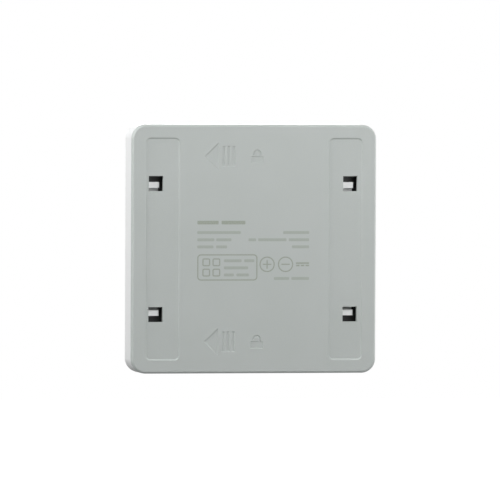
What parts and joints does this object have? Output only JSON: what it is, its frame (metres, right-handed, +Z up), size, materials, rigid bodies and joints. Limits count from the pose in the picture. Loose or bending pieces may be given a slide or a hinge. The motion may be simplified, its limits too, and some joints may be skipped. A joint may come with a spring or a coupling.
{
  "type": "smart light switch",
  "caption": "Square battery wall scene switch: grey slide-off back plate, white body, sprung square keys with light guides, coin cell and radio board inside.",
  "frame": {"origin": "middle of the back plate's wall face", "axes": "+Y into the wall, +Z up, +X towards the side that the back plate slides to when it is opened; the keys face -Y"},
  "size_m": [0.086, 0.015, 0.086],
  "materials": {
    "plate_abs": "fine moulded texture, cool light grey",
    "body_abs": "satin moulded, white",
    "key_abs": "satin moulded, white",
    "board_laminate": "black solder mask",
    "radio_laminate": "dark blue solder mask",
    "tact_nylon": "moulded, black",
    "plunger_acetal": "moulded, natural white",
    "chip_epoxy": "moulded, black",
    "led_resin": "clear resin",
    "guide_acrylic": "clear, polished ends",
    "cell_steel": "nickel-plated, satin",
    "contact_nickel": "nickel-plated strip",
    "shield_steel": "tinned, pressed",
    "screw_steel": "zinc-plated"
  },
  "bodies": {
    "wall_plate": {"back_plate": "plate_abs"},
    "switch_body": {"rear_housing": "body_abs", "front_frame": "body_abs", "circuit_board": "board_laminate", "status_leds": "led_resin", "coin_cell": "cell_steel", "battery_clip": "contact_nickel", "battery_spring": "contact_nickel", "radio_module": "radio_laminate", "radio_shield": "shield_steel", "chip_components": "chip_epoxy", "board_screws": "screw_steel", "tact_switch_1": "tact_nylon", "tact_switch_2": "tact_nylon", "tact_switch_3": "tact_nylon", "tact_switch_4": "tact_nylon"},
    "key_1": {"key_cap_1": "key_abs", "light_guide_1": "guide_acrylic"},
    "plunger_1": {"switch_plunger_1": "plunger_acetal"},
    "key_2": {"key_cap_2": "key_abs", "light_guide_2": "guide_acrylic"},
    "plunger_2": {"switch_plunger_2": "plunger_acetal"},
    "key_3": {"key_cap_3": "key_abs", "light_guide_3": "guide_acrylic"},
    "plunger_3": {"switch_plunger_3": "plunger_acetal"},
    "key_4": {"key_cap_4": "key_abs", "light_guide_4": "guide_acrylic"},
    "plunger_4": {"switch_plunger_4": "plunger_acetal"}
  },
  "joints": [
    {"name": "unlock_slide", "type": "slide", "parent": "wall_plate", "child": "switch_body", "axis": [-1, 0, 0], "range_m": [0, 0.0022]},
    {"name": "key_1_press", "type": "slide", "parent": "switch_body", "child": "key_1", "axis": [0, 1, 0], "range_m": [0, 0.0004], "stiffness_N_per_m": 1500, "springref_m": -0.0005},
    {"name": "plunger_1_travel", "type": "slide", "parent": "switch_body", "child": "plunger_1", "axis": [0, 1, 0], "range_m": [0, 0.0004]},
    {"name": "key_2_press", "type": "slide", "parent": "switch_body", "child": "key_2", "axis": [0, 1, 0], "range_m": [0, 0.0004], "stiffness_N_per_m": 1500, "springref_m": -0.0005},
    {"name": "plunger_2_travel", "type": "slide", "parent": "switch_body", "child": "plunger_2", "axis": [0, 1, 0], "range_m": [0, 0.0004]},
    {"name": "key_3_press", "type": "slide", "parent": "switch_body", "child": "key_3", "axis": [0, 1, 0], "range_m": [0, 0.0004], "stiffness_N_per_m": 1500, "springref_m": -0.0005},
    {"name": "plunger_3_travel", "type": "slide", "parent": "switch_body", "child": "plunger_3", "axis": [0, 1, 0], "range_m": [0, 0.0004]},
    {"name": "key_4_press", "type": "slide", "parent": "switch_body", "child": "key_4", "axis": [0, 1, 0], "range_m": [0, 0.0004], "stiffness_N_per_m": 1500, "springref_m": -0.0005},
    {"name": "plunger_4_travel", "type": "slide", "parent": "switch_body", "child": "plunger_4", "axis": [0, 1, 0], "range_m": [0, 0.0004]}
  ],
  "couplings": [
    {"joint": "plunger_1_travel", "follows": "key_1_press", "ratio": 1},
    {"joint": "plunger_2_travel", "follows": "key_2_press", "ratio": 1},
    {"joint": "plunger_3_travel", "follows": "key_3_press", "ratio": 1},
    {"joint": "plunger_4_travel", "follows": "key_4_press", "ratio": 1}
  ]
}
